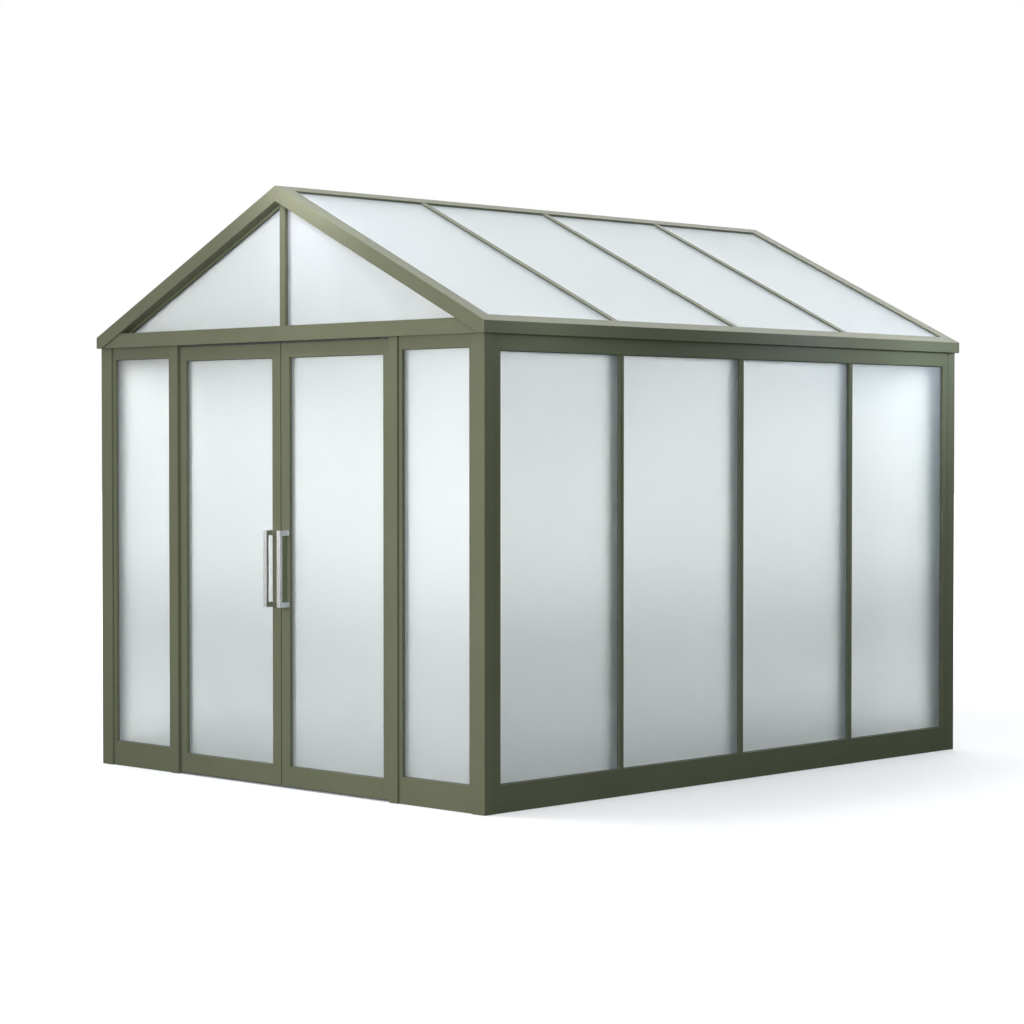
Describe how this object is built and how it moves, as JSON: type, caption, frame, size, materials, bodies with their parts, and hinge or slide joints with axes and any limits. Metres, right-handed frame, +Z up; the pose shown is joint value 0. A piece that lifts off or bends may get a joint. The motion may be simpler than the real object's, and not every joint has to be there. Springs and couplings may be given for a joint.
{
  "type": "greenhouse",
  "caption": "Gable-roofed walk-in greenhouse with a painted aluminium frame, satin glass panes and a pair of glazed pivoting doors with bar handles.",
  "frame": {"origin": "on the floor, under the middle of the overall box, which takes in the roof edges and the door handles", "axes": "+Z up, +X to the right of somebody facing the doors, -Y out through the doors, so the ridge runs along Y"},
  "size_m": [2.634, 3.419, 2.6943],
  "materials": {
    "olive_paint": "satin",
    "satin_glass": "satin",
    "brushed_steel": "brushed",
    "pivot_steel": "satin",
    "mill_aluminium": "satin",
    "seal_grey": "matt"
  },
  "bodies": {
    "frame": {"anchor_brackets": "mill_aluminium", "barge_rafter_front_left": "olive_paint", "barge_rafter_front_right": "olive_paint", "barge_rafter_rear_left": "olive_paint", "barge_rafter_rear_right": "olive_paint", "corner_post_front_left": "olive_paint", "corner_post_front_right": "olive_paint", "corner_post_rear_left": "olive_paint", "corner_post_rear_right": "olive_paint", "door_stop": "olive_paint", "eave_beam_left": "olive_paint", "eave_beam_right": "olive_paint", "gable_beads": "olive_paint", "gable_glass_front": "satin_glass", "gable_glass_rear": "satin_glass", "king_post_front": "olive_paint", "king_post_rear": "olive_paint", "mullion_left": "olive_paint", "mullion_right": "olive_paint", "pivot_pins": "pivot_steel", "rear_bars": "olive_paint", "rear_frame": "olive_paint", "rear_glass": "satin_glass", "ridge_beam": "olive_paint", "ridge_cap": "olive_paint", "roof_bars_left": "olive_paint", "roof_bars_right": "olive_paint", "roof_glass_left": "satin_glass", "roof_glass_right": "satin_glass", "side_bars_left": "olive_paint", "side_bars_right": "olive_paint", "side_bottom_rail_left": "olive_paint", "side_bottom_rail_right": "olive_paint", "side_end_stiles_left": "olive_paint", "side_end_stiles_right": "olive_paint", "side_glass_left": "satin_glass", "side_glass_right": "satin_glass", "side_top_rail_left": "olive_paint", "side_top_rail_right": "olive_paint", "sidelight_frame_left": "olive_paint", "sidelight_frame_right": "olive_paint", "sidelight_glass_left": "satin_glass", "sidelight_glass_right": "satin_glass", "threshold": "mill_aluminium", "tie_beam_front": "olive_paint", "tie_beam_rear": "olive_paint"},
    "door_left": {"door_left_glass": "satin_glass", "door_left_handle": "brushed_steel", "door_left_hinge_stile": "olive_paint", "door_left_meeting_stile": "olive_paint", "door_left_pivot_bushes": "pivot_steel", "door_left_rails": "olive_paint", "meeting_seal": "seal_grey"},
    "door_right": {"door_right_glass": "satin_glass", "door_right_handle": "brushed_steel", "door_right_hinge_stile": "olive_paint", "door_right_meeting_stile": "olive_paint", "door_right_pivot_bushes": "pivot_steel", "door_right_rails": "olive_paint"}
  },
  "joints": [
    {"name": "door_left_swing", "type": "hinge", "parent": "frame", "child": "door_left", "pos_m": [-0.6505, -1.6335, 0], "axis": [0, 0, -1], "range_deg": [0, 90]},
    {"name": "door_right_swing", "type": "hinge", "parent": "frame", "child": "door_right", "pos_m": [0.6505, -1.6335, 0], "axis": [0, 0, 1], "range_deg": [0, 90]}
  ]
}
